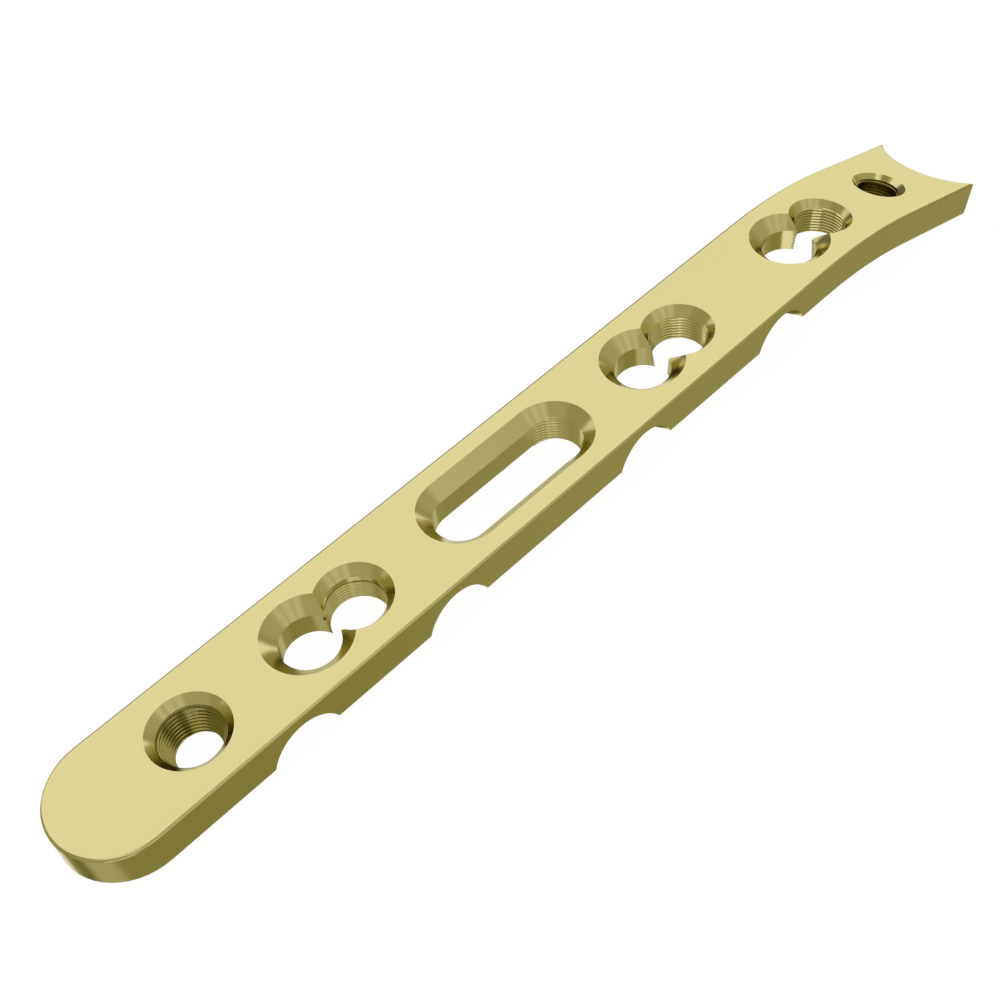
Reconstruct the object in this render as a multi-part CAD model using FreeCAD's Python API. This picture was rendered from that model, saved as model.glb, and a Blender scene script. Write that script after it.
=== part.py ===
import FreeCAD, Part
import math
import os

# Frame of the finished part, in mm. The origin is on the axis of the round shaft hole, on the
# shaft's underside. X runs along the shaft towards the bent end, Y runs across the plate and
# +Z points out of the screw side. While it is being built the plate has X = 0 at its rounded tip.
# A "run" is a length measured from the rounded tip along the outer face, also round the bend.

# Plate body
PLATE_WIDTH = 9.0
PLATE_THICKNESS = 2.75
PLATE_RUN = 85.75
EDGE_ROUND = 0.2

# Bend of the distal end towards the bone
BEND_START_RUN = 67.2
BEND_RADIUS = 37.5
BEND_ANGLE = 16.6

# Hollow end that takes the head of the bone
END_HOLLOW_RADIUS = 5.63

# Positions of the holes, as runs
SHAFT_HOLE_RUN = 10.0
COMBI_1_RUN = 19.45
SLOT_RUN = 32.98
SLOT_TRAVEL = 8.87
COMBI_2_RUN = 51.32
COMBI_3_RUN = 68.4
COMBI_STEP = 3.92
END_HOLE_SETBACK = 5.3
END_HOLE_RUN = PLATE_RUN - END_HOLE_SETBACK

# Plain compression lobe of a combination hole
PLAIN_RIM_RADIUS = 3.15
PLAIN_BORE_RADIUS = 2.1
PLAIN_SINK_DEPTH = 1.0

# Locking lobe on the shaft, whose tapered wall lies at the roots of the thread
LOCK_RIM_RADIUS = 2.73
LOCK_MOUTH_RADIUS = 2.33
LOCK_BORE_RADIUS = 2.15
LOCK_SINK_DEPTH = 0.51

# Smaller locking lobe on the bend
BEND_LOCK_RIM_RADIUS = 2.5
BEND_LOCK_MOUTH_RADIUS = 2.1
BEND_LOCK_BORE_RADIUS = 2.08
BEND_LOCK_SINK_DEPTH = 0.51

# Round locking hole of the shaft
SHAFT_RIM_RADIUS = 2.8
SHAFT_MOUTH_RADIUS = 2.25
SHAFT_BORE_RADIUS = 1.84
SHAFT_SINK_DEPTH = 0.64

# Round locking hole of the bent end
END_RIM_RADIUS = 2.18
END_MOUTH_RADIUS = 1.74
END_BORE_RADIUS = 1.6
END_SINK_DEPTH = 0.35

# Straight length of wall at the foot of each locking hole
LOCK_LAND = 0.5

# Long compression slot
SLOT_RIM_RADIUS = 3.07
SLOT_HALF_WIDTH = 2.06
SLOT_SINK_DEPTH = 1.0

# Scallops cut into both lower edges, between the holes
NOTCH_RADIUS = 2.9
NOTCH_TILT = 35.0
NOTCH_AXIS_DROP = 1.6
FIRST_NOTCH_SHIFT = 0.35

# Clearance that every cutting body has beyond the plate
OVERCUT = 1.5

X_AXIS = FreeCAD.Vector(1, 0, 0)
Y_AXIS = FreeCAD.Vector(0, 1, 0)
Z_AXIS = FreeCAD.Vector(0, 0, 1)


# Places on the outer face


def turn_at(run):
    """Angle in degrees through which the outer face has bent at a run."""
    turned = math.degrees((run - BEND_START_RUN) / BEND_RADIUS)
    return min(max(turned, 0.0), BEND_ANGLE)


def direction_at(turn):
    """Unit vector along the plate where it has bent by an angle."""
    return FreeCAD.Vector(math.cos(math.radians(turn)), 0, -math.sin(math.radians(turn)))


def outward_at(turn):
    """Unit vector out of the screw side where the plate has bent by an angle."""
    return FreeCAD.Vector(math.sin(math.radians(turn)), 0, math.cos(math.radians(turn)))


def bend_centre():
    """Point in the middle plane round which the distal end is bent."""
    return FreeCAD.Vector(BEND_START_RUN, 0, PLATE_THICKNESS - BEND_RADIUS)


def outer_point(run):
    """Point of the outer face on the plate's middle line at a run."""
    if run <= BEND_START_RUN:
        return FreeCAD.Vector(run, 0, PLATE_THICKNESS)
    turn = turn_at(run)
    beyond = run - BEND_START_RUN - BEND_RADIUS * math.radians(turn)
    return bend_centre() + outward_at(turn) * BEND_RADIUS + direction_at(turn) * beyond


def placed(shape, origin, outward):
    """Move a shape modelled about the origin, with +Z outward, onto the plate."""
    turn = FreeCAD.Rotation(Z_AXIS, outward)
    shape.Placement = FreeCAD.Placement(origin, turn)
    return shape


# Plate body


def side_profile():
    """Closed face of the plate seen from its side, longer than the finished plate."""
    inner_radius = BEND_RADIUS - PLATE_THICKNESS
    stop_run = PLATE_RUN + END_HOLLOW_RADIUS
    centre = bend_centre()
    middle = outward_at(BEND_ANGLE / 2)
    last = outward_at(BEND_ANGLE)
    stop = outer_point(stop_run)
    tip_top = FreeCAD.Vector(0, 0, PLATE_THICKNESS)
    tip_low = FreeCAD.Vector(0, 0, 0)
    bend_top = FreeCAD.Vector(BEND_START_RUN, 0, PLATE_THICKNESS)
    bend_low = FreeCAD.Vector(BEND_START_RUN, 0, 0)
    edges = [
        Part.LineSegment(tip_top, bend_top).toShape(),
        Part.Arc(bend_top, centre + middle * BEND_RADIUS, centre + last * BEND_RADIUS).toShape(),
        Part.LineSegment(centre + last * BEND_RADIUS, stop).toShape(),
        Part.LineSegment(stop, stop - last * PLATE_THICKNESS).toShape(),
        Part.LineSegment(stop - last * PLATE_THICKNESS, centre + last * inner_radius).toShape(),
        Part.Arc(centre + last * inner_radius, centre + middle * inner_radius, bend_low).toShape(),
        Part.LineSegment(bend_low, tip_low).toShape(),
        Part.LineSegment(tip_low, tip_top).toShape(),
    ]
    return Part.Face(Part.Wire(edges))


def bent_strip():
    """Square-ended strip with the bend, at full width."""
    profile = side_profile()
    profile.translate(Y_AXIS * (-PLATE_WIDTH / 2))
    return profile.extrude(Y_AXIS * PLATE_WIDTH)


def tip_corners():
    """Material outside the half-round proximal end."""
    half = PLATE_WIDTH / 2
    block = Part.makeBox(
        half + OVERCUT,
        PLATE_WIDTH + 2 * OVERCUT,
        PLATE_THICKNESS + 2 * OVERCUT,
        FreeCAD.Vector(-OVERCUT, -half - OVERCUT, -OVERCUT),
    )
    kept = Part.makeCylinder(half, PLATE_THICKNESS + 4 * OVERCUT, FreeCAD.Vector(half, 0, -2 * OVERCUT))
    return block.cut(kept)


def end_hollow():
    """Round cutter, square to the bent end, that leaves the concave end face."""
    height = PLATE_THICKNESS + 2 * OVERCUT
    cutter = Part.makeCylinder(END_HOLLOW_RADIUS, height, FreeCAD.Vector(0, 0, -PLATE_THICKNESS - OVERCUT))
    run = PLATE_RUN + END_HOLLOW_RADIUS
    return placed(cutter, outer_point(run), outward_at(turn_at(run)))


def plate_blank():
    """Plate with its outline, before the edges are rounded."""
    return bent_strip().cut([tip_corners(), end_hollow()]).removeSplitter()


def is_outer_rim(edge):
    """Tell whether an edge lies round the outer face."""
    for point in edge.discretize(5):
        run = point.x
        turn = 0.0
        if point.x > BEND_START_RUN:
            arm = point - bend_centre()
            turn = min(math.degrees(math.atan2(arm.x, arm.z)), BEND_ANGLE)
            run = BEND_START_RUN + 1
        outer = bend_centre() + outward_at(turn) * BEND_RADIUS if run > BEND_START_RUN else outer_point(run)
        if abs((point - outer).dot(outward_at(turn))) > 0.001:
            return False
    return True


def rounded_edges(blank):
    """Round the whole rim of the outer face."""
    rim = [edge for edge in blank.Edges if is_outer_rim(edge)]
    return blank.makeFillet(EDGE_ROUND, rim)


# Holes, modelled with the outer face at Z = 0


def countersink(rim_radius, foot_radius, depth):
    """Cone from the outer face down to its foot, carried on above the face."""
    slope = (rim_radius - foot_radius) / depth
    return Part.makeCone(
        foot_radius,
        rim_radius + slope * OVERCUT,
        depth + OVERCUT,
        FreeCAD.Vector(0, 0, -depth),
    )


def plain_lobe():
    """Countersunk plain hole for a compression screw."""
    sink = countersink(PLAIN_RIM_RADIUS, PLAIN_BORE_RADIUS, PLAIN_SINK_DEPTH)
    length = PLATE_THICKNESS + OVERCUT
    bore = Part.makeCylinder(PLAIN_BORE_RADIUS, length, FreeCAD.Vector(0, 0, -length))
    return sink.fuse(bore)


def locking_lobe(rim_radius, mouth_radius, bore_radius, sink_depth):
    """Countersunk hole with a tapered wall that ends in a straight land."""
    sink = countersink(rim_radius, mouth_radius, sink_depth)
    land_top = PLATE_THICKNESS - LOCK_LAND
    taper = Part.makeCone(bore_radius, mouth_radius, land_top - sink_depth, FreeCAD.Vector(0, 0, -land_top))
    length = PLATE_THICKNESS + OVERCUT
    bore = Part.makeCylinder(bore_radius, length - land_top, FreeCAD.Vector(0, 0, -length))
    return sink.fuse([taper, bore])


def shaft_lobe():
    """Locking lobe as used along the straight shaft."""
    return locking_lobe(LOCK_RIM_RADIUS, LOCK_MOUTH_RADIUS, LOCK_BORE_RADIUS, LOCK_SINK_DEPTH)


def bend_lobe():
    """Smaller locking lobe as used on the bend."""
    return locking_lobe(
        BEND_LOCK_RIM_RADIUS,
        BEND_LOCK_MOUTH_RADIUS,
        BEND_LOCK_BORE_RADIUS,
        BEND_LOCK_SINK_DEPTH,
    )


def combination_hole(run, lock):
    """Plain lobe with a locking lobe beside it, each square to the face it starts in."""
    far_run = run + COMBI_STEP
    plain = placed(plain_lobe(), outer_point(run), outward_at(turn_at(run)))
    return plain.fuse(placed(lock, outer_point(far_run), outward_at(turn_at(far_run))))


def shaft_hole():
    """Round locking hole nearest the rounded end."""
    hole = locking_lobe(SHAFT_RIM_RADIUS, SHAFT_MOUTH_RADIUS, SHAFT_BORE_RADIUS, SHAFT_SINK_DEPTH)
    return placed(hole, outer_point(SHAFT_HOLE_RUN), Z_AXIS)


def end_hole():
    """Round locking hole in the bent end."""
    hole = locking_lobe(END_RIM_RADIUS, END_MOUTH_RADIUS, END_BORE_RADIUS, END_SINK_DEPTH)
    return placed(hole, outer_point(END_HOLE_RUN), outward_at(turn_at(END_HOLE_RUN)))


def slot_trench(top_half, foot_half, depth):
    """Straight stretch of the slot between its two round ends."""
    corners = [
        FreeCAD.Vector(0, -top_half, 0),
        FreeCAD.Vector(0, top_half, 0),
        FreeCAD.Vector(0, foot_half, -depth),
        FreeCAD.Vector(0, -foot_half, -depth),
    ]
    section = Part.Face(Part.makePolygon(corners + corners[:1]))
    return section.extrude(X_AXIS * SLOT_TRAVEL)


def slot():
    """Long compression slot with a countersink all round and a locking lobe at its far end."""
    slope = (SLOT_RIM_RADIUS - SLOT_HALF_WIDTH) / SLOT_SINK_DEPTH
    length = PLATE_THICKNESS + OVERCUT
    sink = slot_trench(SLOT_RIM_RADIUS + slope * OVERCUT, SLOT_HALF_WIDTH, SLOT_SINK_DEPTH + OVERCUT)
    sink.translate(Z_AXIS * OVERCUT)
    pieces = [sink, slot_trench(SLOT_HALF_WIDTH, SLOT_HALF_WIDTH, length)]
    pieces.append(shaft_lobe().translated(X_AXIS * SLOT_TRAVEL))
    for offset in (0, SLOT_TRAVEL):
        cone = countersink(SLOT_RIM_RADIUS, SLOT_HALF_WIDTH, SLOT_SINK_DEPTH)
        bore = Part.makeCylinder(SLOT_HALF_WIDTH, length, FreeCAD.Vector(0, 0, -length))
        pieces.append(cone.translated(X_AXIS * offset))
        pieces.append(bore.translated(X_AXIS * offset))
    body = pieces[0].fuse(pieces[1:])
    return placed(body, outer_point(SLOT_RUN), Z_AXIS)


# Scallops


def notch_runs():
    """Middle of each scallop, halfway between the holes on its two sides."""
    return [
        (SHAFT_HOLE_RUN + COMBI_1_RUN) / 2 + FIRST_NOTCH_SHIFT,
        (COMBI_1_RUN + COMBI_STEP + SLOT_RUN) / 2,
        (SLOT_RUN + SLOT_TRAVEL + COMBI_2_RUN) / 2,
        (COMBI_2_RUN + COMBI_STEP + COMBI_3_RUN) / 2,
    ]


def notch(run, side):
    """Round cutter that enters a lower edge and dives towards the middle."""
    inward = FreeCAD.Vector(
        0,
        -side * math.cos(math.radians(NOTCH_TILT)),
        -math.sin(math.radians(NOTCH_TILT)),
    )
    on_side = FreeCAD.Vector(run, side * PLATE_WIDTH / 2, -NOTCH_AXIS_DROP)
    reach = NOTCH_RADIUS * 2
    return Part.makeCylinder(NOTCH_RADIUS, 2 * reach, on_side - inward * reach, inward)


def notches():
    """All scallops on both sides."""
    return [notch(run, side) for run in notch_runs() for side in (-1, 1)]


# Finished plate


def plate():
    """The finished plate as one solid."""
    body = rounded_edges(plate_blank())
    cutters = [
        shaft_hole(),
        combination_hole(COMBI_1_RUN, shaft_lobe()),
        slot(),
        combination_hole(COMBI_2_RUN, shaft_lobe()),
        combination_hole(COMBI_3_RUN, bend_lobe()),
        end_hole(),
    ]
    body = body.cut(cutters)
    body = body.cut(notches())
    return body.Solids[0] if len(body.Solids) == 1 else body


def on_hole_frame(body):
    """Shift the plate along X so that the origin is on the axis of the round shaft hole."""
    return body.translated(X_AXIS * -SHAFT_HOLE_RUN)


os.makedirs("parts", exist_ok=True)
finished = on_hole_frame(plate())
finished.exportStep("parts/plate.step")
print("solids", len(finished.Solids), "volume mm3", round(finished.Volume, 1), "valid", finished.isValid())
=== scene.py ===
"""Distal radius locking plate: threads, anodised finish, studio light and camera."""
import logging
import math
from dataclasses import dataclass
from enum import Enum

import bmesh
import bpy
from mathutils import Matrix, Vector


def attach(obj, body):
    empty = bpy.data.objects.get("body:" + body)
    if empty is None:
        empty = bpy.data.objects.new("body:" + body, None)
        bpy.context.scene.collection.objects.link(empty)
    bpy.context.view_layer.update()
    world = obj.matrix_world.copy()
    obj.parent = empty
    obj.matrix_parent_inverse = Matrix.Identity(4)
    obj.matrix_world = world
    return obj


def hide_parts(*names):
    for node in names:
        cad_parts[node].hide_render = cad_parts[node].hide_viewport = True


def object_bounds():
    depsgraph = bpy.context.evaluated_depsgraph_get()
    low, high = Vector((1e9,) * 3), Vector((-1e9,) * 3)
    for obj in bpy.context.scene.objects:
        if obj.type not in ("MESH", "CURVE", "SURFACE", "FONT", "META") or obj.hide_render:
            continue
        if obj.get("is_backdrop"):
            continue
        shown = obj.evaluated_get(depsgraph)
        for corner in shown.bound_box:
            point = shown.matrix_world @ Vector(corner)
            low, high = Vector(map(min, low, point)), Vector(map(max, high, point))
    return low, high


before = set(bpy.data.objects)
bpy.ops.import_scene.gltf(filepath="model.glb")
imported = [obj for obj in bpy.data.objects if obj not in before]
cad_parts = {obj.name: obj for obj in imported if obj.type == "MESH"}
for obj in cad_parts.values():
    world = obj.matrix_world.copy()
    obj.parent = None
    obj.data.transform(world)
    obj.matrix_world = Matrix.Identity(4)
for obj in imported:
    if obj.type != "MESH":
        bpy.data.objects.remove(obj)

LOG = logging.getLogger("locking_plate")
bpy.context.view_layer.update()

MM = 0.001
BODY = "root"
WHITE = "FFFFFF"

# Sizes of the solid plate that the threads and the floor are fitted to, in mm
PLATE_THICKNESS = 2.75
BEND_START_RUN = 67.2
BEND_RADIUS = 37.5
BEND_ANGLE = 16.6
HOLE_FRAME_RUN = 10.0
LOBE_STEP = 3.92

# Distances in mm within which points of a mesh become one
LATHE_MERGE = 0.0001
CARVE_MERGE = 0.0005
CARVE_SLIVER = 0.0002


def linear(hex_colour: str) -> tuple[float, float, float, float]:
    """Turn an sRGB hex colour into linear light.

    Args:
        hex_colour: Six hex digits, with or without a leading hash.

    Returns:
        Red, green, blue and alpha as linear values.
    """
    digits = hex_colour.lstrip("#")
    channels = [int(digits[i:i + 2], 16) / 255 for i in (0, 2, 4)]
    light = [c / 12.92 if c <= 0.04045 else ((c + 0.055) / 1.055) ** 2.4 for c in channels]
    return (light[0], light[1], light[2], 1.0)


def add_node(tree: bpy.types.NodeTree, kind: str,
             settings: dict[str | int, object] | None = None,
             links: dict[str | int, bpy.types.NodeSocket] | None = None) -> bpy.types.Node:
    """Add one shader node with its settings and its incoming links.

    Args:
        tree: Node tree that gets the node.
        kind: Blender's name of the node type.
        settings: Values by attribute name, or by input name or number.
        links: Output sockets by input name or number.

    Returns:
        The new node.
    """
    node = tree.nodes.new(kind)
    for key, value in (settings or {}).items():
        if isinstance(key, str) and hasattr(node, key):
            setattr(node, key, value)
        else:
            node.inputs[key].default_value = value
    for key, socket in (links or {}).items():
        tree.links.new(socket, node.inputs[key])
    return node


def turn_at(run: float) -> float:
    """Angle in radians through which the outer face has bent at a run from the rounded tip."""
    return min(max((run - BEND_START_RUN) / BEND_RADIUS, 0.0), math.radians(BEND_ANGLE))


def hole_matrix(run: float) -> Matrix:
    """Place of a hole on the outer face, with +Z square out of the face there.

    Args:
        run: Length in mm from the rounded tip along the outer face.

    Returns:
        Matrix from the hole's own frame to the plate's frame, in mm.
    """
    turn = turn_at(run)
    if run <= BEND_START_RUN:
        place = Vector((run, 0, PLATE_THICKNESS))
    else:
        beyond = run - BEND_START_RUN - BEND_RADIUS * turn
        outward = Vector((math.sin(turn), 0, math.cos(turn)))
        along = Vector((math.cos(turn), 0, -math.sin(turn)))
        centre = Vector((BEND_START_RUN, 0, PLATE_THICKNESS - BEND_RADIUS))
        place = centre + outward * BEND_RADIUS + along * beyond
    shift = Matrix.Translation(place - Vector((HOLE_FRAME_RUN, 0, 0)))
    return shift @ Matrix.Rotation(turn, 4, "Y")


class Neighbour(Enum):
    """What opens into the side of a locking hole."""

    NONE = "closed all round"
    PLAIN_LOBE = "plain lobe of a combination hole"
    SLOT = "straight stretch of the slot"


@dataclass(frozen=True)
class Film:
    """Colours of one anodised film, as sRGB hex."""

    name: str
    pale: str
    deep: str


class Finish(Enum):
    """Films on the plate's titanium, and a darker copy of the film as painted shade."""

    # Tumbled faces: light gold, with faint clouds
    TUMBLED = Film("anodised_titanium", "DED598", "DDD494")
    # Threads of the shaft hole and the end hole: the film darkened, as painted shade for the dim
    # inside of these deep holes
    PAINTED_SHADE_THREAD = Film("anodised_titanium_thread_painted_shade", "978E4C", "8F8644")


@dataclass(frozen=True)
class AnodisedTitanium:
    """Titanium with a pale gold anodised film, machined and tumbled to a soft gloss."""

    film: Film
    # At a low angle the film stays gold, where bare metal would turn white
    film_edge: str = "F6F3DF"
    # Tumbling with fine stones leaves a soft gloss that varies a little from grain to grain
    roughness: float = 0.16
    roughness_spread: float = 0.05
    grain_mm: float = 0.25
    grain_height_mm: float = 0.0015
    grain_strength: float = 0.25
    # The film's thickness varies over some mm, which gives faint clouds of colour
    cloud_mm: float = 6.0

    def build(self) -> bpy.types.Material:
        """Make the material.

        Returns:
            The finished material.
        """
        material = bpy.data.materials.new(self.film.name)
        material.use_nodes = True
        tree = material.node_tree
        tree.nodes.clear()
        place = add_node(tree, "ShaderNodeTexCoord").outputs["Object"]
        cloud = add_node(tree, "ShaderNodeTexNoise",
                         {"Scale": 1 / (self.cloud_mm * MM), "Detail": 2.0}, {"Vector": place})
        grain = add_node(tree, "ShaderNodeTexNoise",
                         {"Scale": 1 / (self.grain_mm * MM), "Detail": 3.0}, {"Vector": place})
        tint = add_node(tree, "ShaderNodeMix",
                        {"data_type": "RGBA", 6: linear(self.film.pale),
                         7: linear(self.film.deep)}, {0: cloud.outputs["Fac"]})
        rough = add_node(tree, "ShaderNodeMapRange",
                         {"To Min": self.roughness - self.roughness_spread / 2,
                          "To Max": self.roughness + self.roughness_spread / 2},
                         {"Value": grain.outputs["Fac"]})
        bump = add_node(tree, "ShaderNodeBump",
                        {"Strength": self.grain_strength, "Distance": self.grain_height_mm * MM},
                        {"Height": grain.outputs["Fac"]})
        shader = add_node(tree, "ShaderNodeBsdfPrincipled",
                          {"Metallic": 1.0, "Specular Tint": linear(self.film_edge)},
                          {"Base Color": tint.outputs[2], "Roughness": rough.outputs["Result"],
                           "Normal": bump.outputs["Normal"]})
        add_node(tree, "ShaderNodeOutputMaterial", None, {"Surface": shader.outputs["BSDF"]})
        return material


def finish_mesh(bm: bmesh.types.BMesh, name: str, material: bpy.types.Material,
                sharp_deg: float) -> bpy.types.Object:
    """Turn a bmesh in mm into a finished piece in metres that rides on the plate.

    Args:
        bm: The shape, in mm, in the plate's frame. It is freed.
        name: Name of the piece.
        material: Finish of the piece.
        sharp_deg: Angle between faces above which an edge stays sharp.

    Returns:
        The new object, linked to the scene.
    """
    bmesh.ops.scale(bm, vec=Vector((MM, MM, MM)), verts=bm.verts)
    bmesh.ops.recalc_face_normals(bm, faces=bm.faces)
    limit = math.radians(sharp_deg)
    for face in bm.faces:
        face.smooth = True
    for edge in bm.edges:
        edge.smooth = len(edge.link_faces) == 2 and edge.calc_face_angle(0.0) < limit
    mesh = bpy.data.meshes.new(name)
    bm.to_mesh(mesh)
    bm.free()
    mesh.materials.append(material)
    piece = bpy.data.objects.new(name, mesh)
    bpy.context.scene.collection.objects.link(piece)
    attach(piece, BODY)
    return piece


def lathe(profile: list[tuple[float, float]], steps: int) -> bmesh.types.BMesh:
    """Spin a half profile round Z into a solid.

    Args:
        profile: Radius and height of each corner, in mm. The first and last lie on the axis.
        steps: Number of segments round the axis.

    Returns:
        The closed solid.
    """
    bm = bmesh.new()
    verts = [bm.verts.new((radius, 0, height)) for radius, height in profile]
    edges = [bm.edges.new(pair) for pair in zip(verts, verts[1:])]
    bmesh.ops.spin(bm, geom=verts + edges, cent=(0, 0, 0), axis=(0, 0, 1),
                   angle=math.tau, steps=steps, use_merge=True)
    bmesh.ops.remove_doubles(bm, verts=bm.verts, dist=LATHE_MERGE)
    bmesh.ops.recalc_face_normals(bm, faces=bm.faces)
    return bm


def scratch_object(bm: bmesh.types.BMesh, name: str) -> bpy.types.Object:
    """Put a working shape in the scene for a boolean.

    Args:
        bm: The shape. It is freed.
        name: Name of the working object.

    Returns:
        The object, which has to be removed again.
    """
    bmesh.ops.triangulate(bm, faces=bm.faces[:])
    mesh = bpy.data.meshes.new(name)
    bm.to_mesh(mesh)
    bm.free()
    helper = bpy.data.objects.new(name, mesh)
    bpy.context.scene.collection.objects.link(helper)
    return helper


def carve(body: bmesh.types.BMesh, cutters: list[bmesh.types.BMesh]) -> bmesh.types.BMesh:
    """Cut one closed shape with others.

    Args:
        body: Shape that is cut. It is freed.
        cutters: Closed cutting shapes. They are freed.

    Returns:
        What is left of the body.
    """
    target = scratch_object(body, "carve_body")
    helpers = [scratch_object(cutter, "carve_cutter") for cutter in cutters]
    for helper in helpers:
        cut = target.modifiers.new("cut", "BOOLEAN")
        cut.operation = "DIFFERENCE"
        cut.solver = "MANIFOLD"
        cut.object = helper
    graph = bpy.context.evaluated_depsgraph_get()
    result = bpy.data.meshes.new_from_object(target.evaluated_get(graph))
    left = bmesh.new()
    left.from_mesh(result)
    bmesh.ops.remove_doubles(left, verts=left.verts, dist=CARVE_MERGE)
    bmesh.ops.dissolve_degenerate(left, edges=left.edges, dist=CARVE_SLIVER)
    for used in [target, *helpers]:
        mesh = used.data
        bpy.data.objects.remove(used)
        bpy.data.meshes.remove(mesh)
    bpy.data.meshes.remove(result)
    return left


@dataclass(frozen=True)
class Countersink:
    """Cone round a hole's mouth. The rim is a radius in mm, the slope its loss per mm of depth."""

    rim: float
    slope: float

    def foot(self, radius: float, clearance: float) -> float:
        """Height, below the outer face, at which the cone has narrowed to a radius."""
        return -(self.rim + clearance - radius) / self.slope

    def cutter(self, clearance: float) -> list[tuple[float, float]]:
        """Half profile of the cone, for the lathe.

        Args:
            clearance: Gap in mm that keeps the cutter off the solid's own cone.

        Returns:
            Corners from above the outer face down to the cone's point.
        """
        above = 1.0
        rim = self.rim + clearance
        return [(0, above), (rim + self.slope * above, above), (0, -rim / self.slope)]


@dataclass(frozen=True)
class LockingThread:
    """Fine tapered thread of one locking hole, as a sleeve that lines the solid's wall.

    All lengths are in mm. Depths are counted from the outer face, and shares are of a pitch.
    """

    name: str
    run: float
    sink: Countersink
    crest_mouth: float
    mouth_depth: float
    crest_foot: float
    tooth: float
    neighbour: Neighbour = Neighbour.NONE
    finish: Finish = Finish.TUMBLED
    # Where the helix starts round the hole
    phase_deg: float = 0.0
    # Flat stretches at the crests and at the roots
    crest_share: float = 0.1
    root_share: float = 0.1
    # Smooth band above the teeth, and the height of the groove under it
    smooth_to: float = 0.0
    groove: float = 0.0
    # How far the groove's floor falls per mm outwards, so that it looks black from above
    groove_fall: float = 1.3
    pitch: float = 0.256
    steps: int = 144
    # Metal behind the roots, which reaches into the solid's wall
    backing: float = 0.12
    # Gap that keeps the sleeve off the solid's own faces
    clearance: float = 0.004
    # Height above the outer face at which the strip is first cut flat
    overrun: float = 0.3
    sharp_deg: float = 28.0

    PLAIN_BORE = 2.1
    PLAIN_SINK = Countersink(3.15, 1.05)
    SLOT_HALF_WIDTH = 2.06
    SLOT_SINK = Countersink(3.07, 1.01)
    SLOT_TRAVEL = 8.87
    # The slot's cutter starts just short of the hole's axis, off the sleeve's own seam
    SLOT_START = -0.02
    CUT_ABOVE = 1.0
    CUT_BELOW = -2 * PLATE_THICKNESS
    # Turns by which the strip is too long at either end
    SPARE_TURNS = 2
    # Part of a spin step by which corners stay off the trimming planes
    STEP_OFFSET = 0.4
    # Distances within which points become one, lie on a trimming plane, and are cut at it
    MERGE = 0.001
    ON_PLANE = 0.0005
    AT_CUT = 0.00001

    def crest_at(self, height: float) -> float:
        """Crest radius at a height below the outer face."""
        share = (-height - self.mouth_depth) / (PLATE_THICKNESS - self.mouth_depth)
        return self.crest_mouth + (self.crest_foot - self.crest_mouth) * share

    def crest_start(self) -> float:
        """Height of a crest's lower corner over its tooth's foot, in pitches."""
        wanted = (1 + self.root_share - self.crest_share) / 2
        return (math.floor(wanted * self.steps) + self.STEP_OFFSET) / self.steps

    def strip(self) -> bmesh.types.BMesh:
        """Spin a straight strip of teeth with a rise of one pitch in each turn.

        Returns:
            A threaded tube, longer than the plate is thick, whose crests lie at radius 1.
        """
        turns = math.ceil(PLATE_THICKNESS / self.pitch) + 2 * self.SPARE_TURNS
        low = -PLATE_THICKNESS - self.SPARE_TURNS * self.pitch
        top = low + turns * self.pitch
        root = 1 + self.tooth
        back = root + self.backing
        start = self.crest_start()
        corners = []
        for turn in range(turns):
            foot = low + turn * self.pitch
            corners += [(root, foot), (root, foot + self.root_share * self.pitch),
                        (1.0, foot + start * self.pitch),
                        (1.0, foot + (1 + self.root_share - start) * self.pitch)]
        corners += [(root, top), (back, top), (back, low)]
        bm = bmesh.new()
        verts = [bm.verts.new((radius, 0, height)) for radius, height in corners]
        edges = [bm.edges.new(pair) for pair in zip(verts, verts[1:] + verts[:1])]
        bmesh.ops.spin(bm, geom=verts + edges, cent=(0, 0, 0), axis=(0, 0, 1), angle=math.tau,
                       dvec=(0, 0, self.pitch / self.steps), steps=self.steps, use_merge=False)
        bmesh.ops.remove_doubles(bm, verts=bm.verts, dist=self.MERGE)
        return bm

    def trim(self, bm: bmesh.types.BMesh) -> None:
        """Cut the strip flat above the face and just inside the underside, and close it.

        Args:
            bm: The strip, which is changed.
        """
        underside = -PLATE_THICKNESS + self.clearance
        for height, normal in ((self.overrun, 1.0), (underside, -1.0)):
            bmesh.ops.bisect_plane(bm, geom=bm.verts[:] + bm.edges[:] + bm.faces[:],
                                   plane_co=(0, 0, height), plane_no=(0, 0, normal),
                                   clear_outer=True, dist=self.AT_CUT)
            bmesh.ops.remove_doubles(bm, verts=bm.verts, dist=self.MERGE)
            rim = [edge for edge in bm.edges if edge.is_boundary
                   and all(abs(vert.co.z - height) < self.ON_PLANE for vert in edge.verts)]
            bmesh.ops.bridge_loops(bm, edges=rim)

    def taper(self, bm: bmesh.types.BMesh) -> None:
        """Move every point outwards until the crests follow the hole's taper.

        Args:
            bm: The trimmed strip, which is changed.
        """
        back = 1 + self.tooth + self.backing / 2
        for vert in bm.verts:
            radius = math.hypot(vert.co.x, vert.co.y)
            smooth = self.smooth_to and vert.co.z > -self.smooth_to and radius < back
            wanted = self.crest_at(vert.co.z) + (0.0 if smooth else radius - 1)
            vert.co.x *= wanted / radius
            vert.co.y *= wanted / radius

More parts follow.
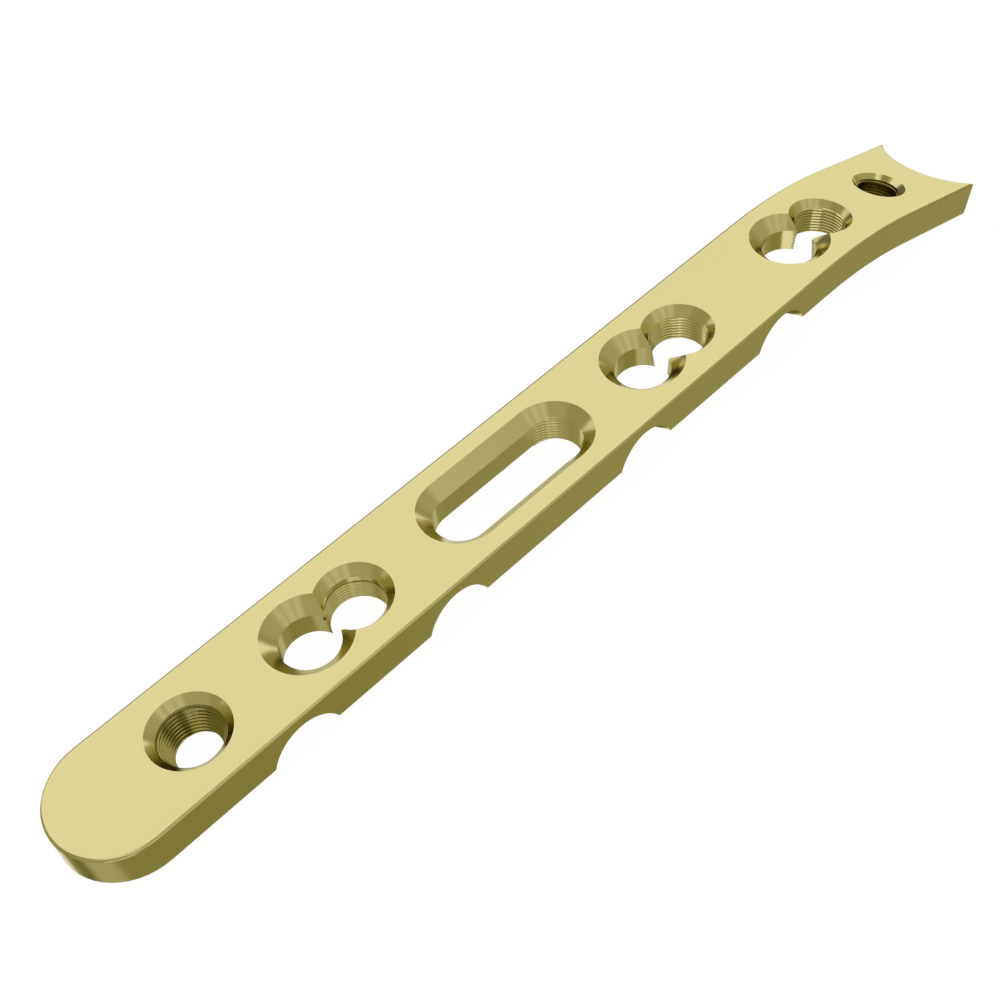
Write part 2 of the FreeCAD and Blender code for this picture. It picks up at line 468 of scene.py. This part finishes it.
    def plain_lobe_cutter(self) -> bmesh.types.BMesh:
        """Shape the space of the plain lobe beside this hole.

        Returns:
            The closed cutter, in this hole's frame.
        """
        bore = self.PLAIN_BORE + self.clearance
        sink = self.PLAIN_SINK
        rim = sink.rim + self.clearance
        space = lathe([(0, self.CUT_BELOW), (bore, self.CUT_BELOW),
                       (bore, sink.foot(bore, self.clearance)),
                       (rim + sink.slope, self.CUT_ABOVE), (0, self.CUT_ABOVE)], self.steps)
        there = hole_matrix(self.run).inverted() @ hole_matrix(self.run - LOBE_STEP)
        bmesh.ops.transform(space, matrix=there, verts=space.verts)
        return space

    def slot_cutter(self) -> bmesh.types.BMesh:
        """Shape the space of the slot beside this hole.

        Returns:
            The closed cutter, in this hole's frame.
        """
        half = self.SLOT_HALF_WIDTH + self.clearance
        sink = self.SLOT_SINK
        foot = sink.foot(half, self.clearance)
        above = sink.rim + self.clearance + sink.slope
        section = [(-half, self.CUT_BELOW), (half, self.CUT_BELOW), (half, foot),
                   (above, self.CUT_ABOVE), (-above, self.CUT_ABOVE), (-half, foot)]
        trench = bmesh.new()
        face = trench.faces.new([trench.verts.new((self.SLOT_START, y, z)) for y, z in section])
        grown = bmesh.ops.extrude_face_region(trench, geom=[face])
        moved = [item for item in grown["geom"] if isinstance(item, bmesh.types.BMVert)]
        bmesh.ops.translate(trench, vec=(-self.SLOT_TRAVEL, 0, 0), verts=moved)
        bmesh.ops.recalc_face_normals(trench, faces=trench.faces)
        return trench

    def groove_cutter(self) -> bmesh.types.BMesh:
        """Shape the groove that parts the smooth band from the teeth.

        Returns:
            The closed cutter, in this hole's frame.
        """
        top = -self.smooth_to
        lip = top - self.groove
        mouth = self.crest_at(lip)
        reach = mouth + self.tooth + 2 * self.backing
        floor = lip - self.groove_fall * (reach - mouth)
        return lathe([(0, lip), (mouth, lip), (reach, floor), (reach, top), (0, top)], self.steps)

    def cutters(self) -> list[bmesh.types.BMesh]:
        """Gather all that is cut from the sleeve.

        Returns:
            The closed cutters, in this hole's frame.
        """
        shapes = [lathe(self.sink.cutter(self.clearance), self.steps)]
        if self.neighbour is Neighbour.PLAIN_LOBE:
            shapes.append(self.plain_lobe_cutter())
        if self.neighbour is Neighbour.SLOT:
            shapes += [self.slot_cutter(), lathe(self.SLOT_SINK.cutter(self.clearance), self.steps)]
        if self.groove:
            shapes.append(self.groove_cutter())
        return shapes

    def build(self, material: bpy.types.Material) -> bpy.types.Object:
        """Make the threaded sleeve.

        Args:
            material: Finish of the thread.

        Returns:
            The piece, riding on the plate.
        """
        bm = self.strip()
        self.trim(bm)
        self.taper(bm)
        phase = Matrix.Rotation(math.radians(self.phase_deg), 3, "Z")
        bmesh.ops.rotate(bm, verts=bm.verts, matrix=phase)
        bmesh.ops.recalc_face_normals(bm, faces=bm.faces)
        bm = carve(bm, self.cutters())
        bmesh.ops.transform(bm, matrix=hole_matrix(self.run), verts=bm.verts)
        return finish_mesh(bm, self.name, material, self.sharp_deg)


@dataclass(frozen=True)
class PlateBody:
    """The plate itself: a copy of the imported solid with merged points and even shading."""

    name: str = "plate_body"
    node: str = "plate"
    merge_mm: float = 0.0002
    sharp_deg: float = 22.0
    # Large faces have the most say in the shading of points that they share with small ones
    face_weight: int = 100

    def build(self, material: bpy.types.Material) -> bpy.types.Object:
        """Copy the solid, merge it and dress it.

        Args:
            material: Finish of the plate.

        Returns:
            The piece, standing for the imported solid.
        """
        bm = bmesh.new()
        bm.from_mesh(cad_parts[self.node].data)
        bmesh.ops.scale(bm, vec=Vector((1 / MM, 1 / MM, 1 / MM)), verts=bm.verts)
        bmesh.ops.remove_doubles(bm, verts=bm.verts, dist=self.merge_mm)
        piece = finish_mesh(bm, self.name, material, self.sharp_deg)
        weighted = piece.modifiers.new("even_normals", "WEIGHTED_NORMAL")
        weighted.keep_sharp = True
        weighted.weight = self.face_weight
        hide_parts(self.node)
        return piece


@dataclass(frozen=True)
class LightCard:
    """One soft-edged patch of the studio round the plate, as the metal mirrors it.

    Angles are in degrees. Azimuth is counted from +X towards +Y, low and high are elevations,
    and the blur is the width of the soft edge.
    """

    azimuth: float
    half_width: float
    low: float
    high: float
    strength: float
    blur: float

    ALL_ROUND = 180

    def across(self, tree: bpy.types.NodeTree, sight: bpy.types.NodeSocket) -> bpy.types.NodeSocket:
        """Fade the patch out sideways.

        Args:
            tree: The world's node tree.
            sight: Direction looked in, flattened to the horizon, of length 1.

        Returns:
            Socket with 1 inside the patch's width and 0 outside.
        """
        azimuth = math.radians(self.azimuth)
        towards = (math.cos(azimuth), math.sin(azimuth), 0.0)
        facing = add_node(tree, "ShaderNodeVectorMath",
                          {"operation": "DOT_PRODUCT", 1: towards}, {0: sight})
        inner = max(self.half_width - self.blur / 2, 0.0)
        outer = self.half_width + self.blur / 2
        edge = add_node(tree, "ShaderNodeMapRange",
                        {"interpolation_type": "SMOOTHSTEP",
                         "From Min": math.cos(math.radians(outer)),
                         "From Max": math.cos(math.radians(inner))},
                        {"Value": facing.outputs["Value"]})
        return edge.outputs["Result"]

    def upwards(self, tree: bpy.types.NodeTree,
                height: bpy.types.NodeSocket) -> list[bpy.types.NodeSocket]:
        """Fade the patch out below and above.

        Args:
            tree: The world's node tree.
            height: Sine of the elevation looked at.

        Returns:
            Sockets with 1 inside the patch's height and 0 outside, none for an edge at the zenith.
        """
        edges = []
        for level, sign in ((self.low, 1), (self.high, -1)):
            dim = math.sin(math.radians(max(min(level - sign * self.blur / 2, 90), -90)))
            full = math.sin(math.radians(max(min(level + sign * self.blur / 2, 90), -90)))
            if dim == full:
                continue
            edge = add_node(tree, "ShaderNodeMapRange",
                            {"interpolation_type": "SMOOTHSTEP",
                             "From Min": min(dim, full), "From Max": max(dim, full),
                             "To Min": 0.0 if sign > 0 else 1.0,
                             "To Max": 1.0 if sign > 0 else 0.0}, {"Value": height})
            edges.append(edge.outputs["Result"])
        return edges

    def brightness(self, tree: bpy.types.NodeTree, sight: bpy.types.NodeSocket,
                   height: bpy.types.NodeSocket) -> bpy.types.NodeSocket:
        """Brightness of the patch in each direction.

        Args:
            tree: The world's node tree.
            sight: Direction looked in, flattened to the horizon, of length 1.
            height: Sine of the elevation looked at.

        Returns:
            Socket with the patch's brightness.
        """
        edges = self.upwards(tree, height)
        if self.half_width < self.ALL_ROUND:
            edges.insert(0, self.across(tree, sight))
        mask = edges[0]
        for edge in edges[1:]:
            mask = add_node(tree, "ShaderNodeMath", {"operation": "MULTIPLY"},
                            {0: mask, 1: edge}).outputs[0]
        return add_node(tree, "ShaderNodeMath", {"operation": "MULTIPLY", 1: self.strength},
                        {0: mask}).outputs[0]


@dataclass(frozen=True)
class WhitePaper:
    """Matt white paper, a smooth uncoated sheet, which hardly shows any shade in strong light."""

    name: str = "white_paper"
    matt: str = "E7E7E7"
    # To the camera the sheet glows almost white by itself, and the rest keeps a faint shadow
    glow: float = 0.955
    shade: str = "616165"

    def build(self) -> bpy.types.Material:
        """Make the material.

        Returns:
            The finished material.
        """
        material = bpy.data.materials.new(self.name)
        material.use_nodes = True
        tree = material.node_tree
        tree.nodes.clear()
        matt = add_node(tree, "ShaderNodeBsdfDiffuse", {"Color": linear(self.matt)})
        shade = add_node(tree, "ShaderNodeBsdfDiffuse", {"Color": linear(self.shade)})
        glow = add_node(tree, "ShaderNodeEmission",
                        {"Color": linear(WHITE), "Strength": self.glow})
        shown = add_node(tree, "ShaderNodeAddShader", None,
                         {0: shade.outputs["BSDF"], 1: glow.outputs["Emission"]})
        ray = add_node(tree, "ShaderNodeLightPath").outputs["Is Camera Ray"]
        seen = add_node(tree, "ShaderNodeMixShader", None,
                        {0: ray, 1: matt.outputs["BSDF"], 2: shown.outputs["Shader"]})
        add_node(tree, "ShaderNodeOutputMaterial", None, {"Surface": seen.outputs["Shader"]})
        return material


@dataclass(frozen=True)
class Studio:
    """Plain studio: warm dim surroundings with soft white cards, and a white floor."""

    warm: str = "949164"
    card_colour: tuple[float, float, float, float] = (1.0, 1.02, 1.25, 1.0)
    # Azimuth, half width, low, high, strength and blur of each white card
    cards: tuple[LightCard, ...] = (
        # Large card that the plate's outer face mirrors
        LightCard(57, 55, 34, 66, 0.64, 9),
        # Cards for the bright spots at the ends of the countersinks
        LightCard(20, 20, -6, 34, 0.64, 9),
        LightCard(104, 10, -5, 34, 0.45, 9),
        LightCard(165, 60, 66, 120, 0.72, 9),
        LightCard(-38, 20, 68, 84, 0.70, 6),
        # Even glow above the horizon, and stronger on the camera's side
        LightCard(0, 180, -6, 74, 0.075, 12),
        LightCard(-100, 84, 8, 74, 0.075, 14),
        # Narrow strips for the light bands in the far sides of the countersinks
        LightCard(-90, 37, 12, 70, 0.065, 8),
        LightCard(-116, 8, 12, 70, 0.12, 7),
        LightCard(-91, 8, 12, 70, 0.14, 7),
        LightCard(-67, 6, 12, 70, 0.12, 6),
        # Light at and below the horizon, for the holes' walls and the plate's sides
        LightCard(140, 10, -6, 8, 0.22, 8),
        LightCard(-134, 19, -43, -16, 0.75, 9),
        LightCard(66, 24, -48, -24, 0.33, 9),
        LightCard(-178, 22, -75, -28, 0.18, 20),
        LightCard(1, 17, -75, -30, 0.26, 18),
        LightCard(-28, 28, -75, -20, 0.06, 16),
        LightCard(90, 30, -88, -50, 0.62, 12),
        LightCard(43, 7, -36, -22, 0.30, 6),
        LightCard(7, 6, -12, -4, 0.28, 5),
    )
    # Flags that take a share of the warm surroundings away
    flags: tuple[LightCard, ...] = (
        LightCard(68, 24, -6, 32, -0.65, 8),
        LightCard(149, 9, -75, -28, -0.40, 12),
        LightCard(42, 14, -75, -46, -0.45, 12),
    )
    floor_half_width_m: float = 0.6
    floor_gap_mm: float = 0.02

    def light_sum(self, tree: bpy.types.NodeTree, start: float,
                  patches: list[bpy.types.NodeSocket]) -> bpy.types.NodeSocket:
        """Add up light.

        Args:
            tree: The world's node tree.
            start: Even light before the patches.
            patches: Brightness of each patch.

        Returns:
            Socket with the sum.
        """
        even = add_node(tree, "ShaderNodeValue")
        even.outputs[0].default_value = start
        total = even.outputs[0]
        for patch in patches:
            total = add_node(tree, "ShaderNodeMath", {"operation": "ADD"},
                             {0: total, 1: patch}).outputs[0]
        return total

    def build_world(self) -> None:
        """Set the surroundings that light the plate, white where the camera sees them."""
        world = bpy.data.worlds.new("studio")
        bpy.context.scene.world = world
        world.use_nodes = True
        tree = world.node_tree
        tree.nodes.clear()
        look = add_node(tree, "ShaderNodeTexCoord").outputs["Generated"]
        parts = add_node(tree, "ShaderNodeSeparateXYZ", None, {"Vector": look}).outputs
        level = add_node(tree, "ShaderNodeCombineXYZ", None, {"X": parts["X"], "Y": parts["Y"]})
        sight = add_node(tree, "ShaderNodeVectorMath", {"operation": "NORMALIZE"},
                         {0: level.outputs["Vector"]}).outputs["Vector"]
        height = parts["Z"]
        dimmed = self.light_sum(
            tree, 1.0, [flag.brightness(tree, sight, height) for flag in self.flags])
        carded = self.light_sum(
            tree, 0.0, [card.brightness(tree, sight, height) for card in self.cards])
        warm = add_node(tree, "ShaderNodeBackground", {"Color": linear(self.warm)},
                        {"Strength": dimmed})
        white = add_node(tree, "ShaderNodeBackground", {"Color": self.card_colour},
                         {"Strength": carded})
        both = add_node(tree, "ShaderNodeAddShader", None,
                        {0: warm.outputs["Background"], 1: white.outputs["Background"]})
        paper = add_node(tree, "ShaderNodeBackground", {"Color": linear(WHITE), "Strength": 1.0})
        ray = add_node(tree, "ShaderNodeLightPath").outputs["Is Camera Ray"]
        seen = add_node(tree, "ShaderNodeMixShader", None,
                        {0: ray, 1: both.outputs["Shader"], 2: paper.outputs["Background"]})
        add_node(tree, "ShaderNodeOutputWorld", None, {"Surface": seen.outputs["Shader"]})

    def build_floor(self) -> None:
        """Lay the white floor under the two places on which the plate rests."""
        low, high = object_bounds()
        tilt = math.atan2(-low.z, high.x - low.x)
        corner = Vector((low.x, 0, -self.floor_gap_mm * MM))
        bm = bmesh.new()
        bmesh.ops.create_grid(bm, x_segments=1, y_segments=1, size=self.floor_half_width_m)
        place = Matrix.Translation(corner) @ Matrix.Rotation(tilt, 4, "Y")
        bmesh.ops.transform(bm, matrix=place, verts=bm.verts)
        mesh = bpy.data.meshes.new("floor")
        bm.to_mesh(mesh)
        bm.free()
        mesh.materials.append(WhitePaper().build())
        floor = bpy.data.objects.new("floor", mesh)
        bpy.context.scene.collection.objects.link(floor)
        # The metal mirrors the studio's cards below the horizon instead
        floor.visible_glossy = False
        floor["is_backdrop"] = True


@dataclass(frozen=True)
class PhotoCamera:
    """Camera at the photograph's viewing angle. Angles in degrees, lengths in mm."""

    azimuth: float = -38.149
    elevation: float = 49.326
    roll: float = -8.923
    distance: float = 97.595
    aim: tuple[float, float, float] = (26.0, 0.0, 2.75)
    right_offset: float = 0.547
    up_offset: float = -1.250
    lens: float = 51.816
    sensor: float = 36.0
    near_m: float = 0.001
    far_m: float = 10.0

    def build(self) -> None:
        """Make the camera and give it to the scene."""
        a, e, r = (math.radians(v) for v in (self.azimuth, self.elevation, self.roll))
        level = Vector((math.cos(a), math.sin(a), 0))
        back = Vector((math.sin(a) * math.cos(e), -math.cos(a) * math.cos(e), math.sin(e)))
        rise = back.cross(level)
        right = level * math.cos(r) + rise * math.sin(r)
        up = rise * math.cos(r) - level * math.sin(r)
        place = (Vector(self.aim) + right * self.right_offset + up * self.up_offset
                 + back * self.distance) * MM
        data = bpy.data.cameras.new("photo_camera")
        data.lens = self.lens
        data.sensor_width = self.sensor
        data.clip_start = self.near_m
        data.clip_end = self.far_m
        camera = bpy.data.objects.new("photo_camera", data)
        turn = Matrix((right, up, back)).transposed().to_4x4()
        camera.matrix_world = Matrix.Translation(place) @ turn
        bpy.context.scene.collection.objects.link(camera)
        bpy.context.scene.camera = camera


SHAFT_LOBE_SINK = Countersink(2.73, 0.784)
# The shaft hole and the end hole take the darkened film, which paints the shade inside them
# Name, run, countersink, crest radius and depth at the mouth, crest radius at the foot, tooth
THREADS = (
    LockingThread("thread_shaft_hole", 10.0, Countersink(2.8, 0.859), 2.11, 0.77, 1.53, 0.22,
                  phase_deg=-62, crest_share=0.15, finish=Finish.PAINTED_SHADE_THREAD),
    LockingThread("thread_combi_1", 23.37, SHAFT_LOBE_SINK, 2.13, 0.7, 1.98, 0.10,
                  Neighbour.PLAIN_LOBE, phase_deg=-87, crest_share=0.3, smooth_to=1.12,
                  groove=0.17, backing=0.16),
    LockingThread("thread_slot", 41.85, SHAFT_LOBE_SINK, 2.13, 0.7, 1.98, 0.12,
                  Neighbour.SLOT, phase_deg=-110, crest_share=0.2),
    LockingThread("thread_combi_2", 55.24, SHAFT_LOBE_SINK, 2.13, 0.7, 1.98, 0.12,
                  Neighbour.PLAIN_LOBE, phase_deg=-100, crest_share=0.2),
    LockingThread("thread_combi_3", 72.32, Countersink(2.5, 0.784), 1.95, 0.7, 1.93, 0.09,
                  Neighbour.PLAIN_LOBE, phase_deg=-90, crest_share=0.4),
    LockingThread("thread_end_hole", 80.45, Countersink(2.18, 1.257), 1.62, 0.43, 1.42, 0.24,
                  finish=Finish.PAINTED_SHADE_THREAD),
)


def main() -> None:
    """Build the camera, the plate's dress and the studio in order."""
    logging.basicConfig(level=logging.INFO, format="%(message)s")
    PhotoCamera().build()
    materials = {finish: AnodisedTitanium(finish.value).build() for finish in Finish}
    body = PlateBody().build(materials[Finish.TUMBLED])
    LOG.info("%s: %d faces", body.name, len(body.data.polygons))
    for thread in THREADS:
        piece = thread.build(materials[thread.finish])
        LOG.info("%s: %d faces", piece.name, len(piece.data.polygons))
    studio = Studio()
    studio.build_floor()
    studio.build_world()
    bpy.context.scene.view_settings.view_transform = "Standard"


if __name__ == "__main__":
    main()
